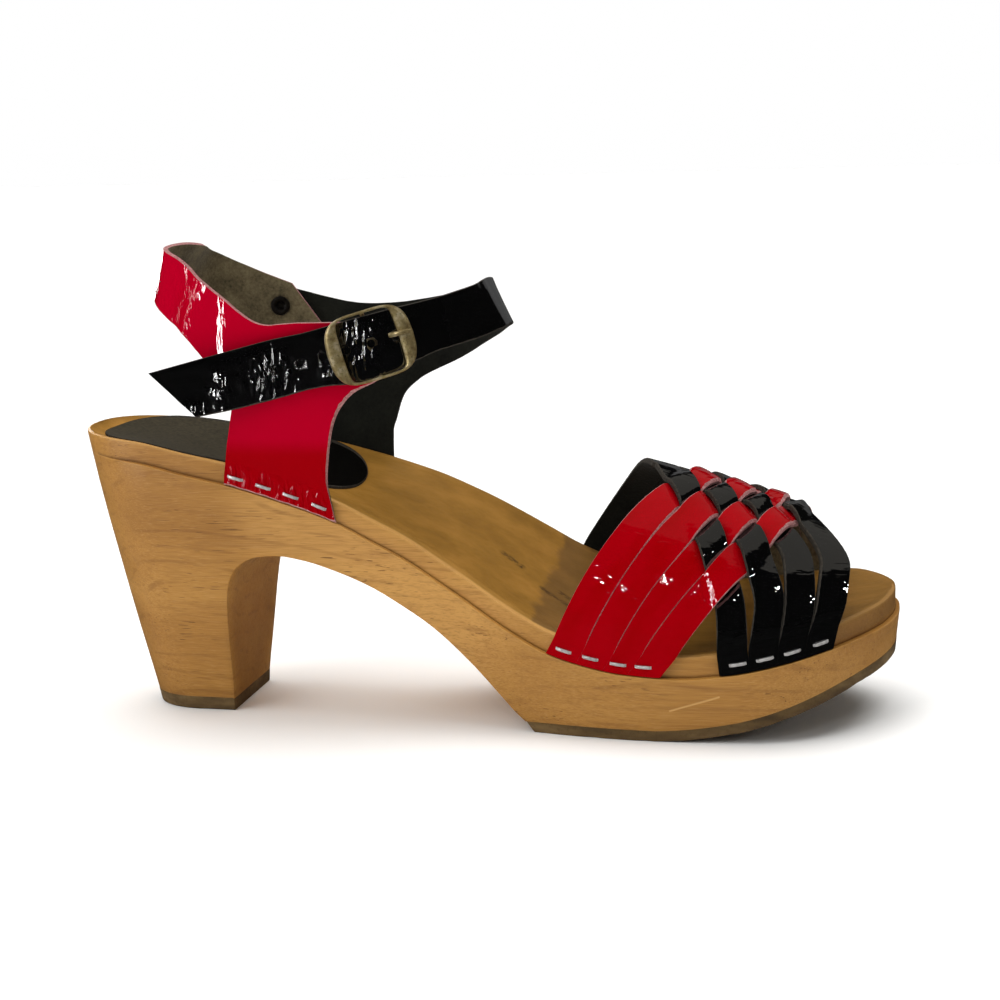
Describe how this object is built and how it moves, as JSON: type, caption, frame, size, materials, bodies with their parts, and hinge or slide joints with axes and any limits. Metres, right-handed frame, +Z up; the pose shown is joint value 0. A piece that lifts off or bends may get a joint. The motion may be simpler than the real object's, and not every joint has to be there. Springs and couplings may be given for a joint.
{
  "type": "open-toe clog",
  "caption": "Right-foot open-toe clog on a carved wooden platform sole with a high heel, a woven leather vamp, side quarters and a buckled ankle strap.",
  "frame": {"origin": "middle of the bottom of the box round the whole shoe, on the floor it stands on", "axes": "+X from the heel to the toe, +Y to the inner side of the foot, +Z up"},
  "size_m": [0.2402, 0.0828, 0.139],
  "materials": {
    "alder_wood": "satin varnish over honey-coloured wood with fine brown grain",
    "brown_rubber": "matt, worn",
    "black_sock": "smooth matt black, bare",
    "woven_patent": "glossy patent, deep red strips woven with black ones",
    "red_patent": "glossy deep red patent with a pale raw edge",
    "black_patent": "glossy creased black patent",
    "old_brass": "antique brass, worn bright on the edges",
    "dark_metal": "dark, half glossy"
  },
  "bodies": {
    "root": {"wood_sole": "alder_wood", "forefoot_outsole": "brown_rubber", "heel_lift": "brown_rubber", "heel_sock": "black_sock", "vamp": "woven_patent", "quarter_red": "red_patent", "quarter_black": "black_patent", "buckle_frame": "old_brass", "buckle_prong": "old_brass", "rivet": "dark_metal"}
  },
  "joints": []
}
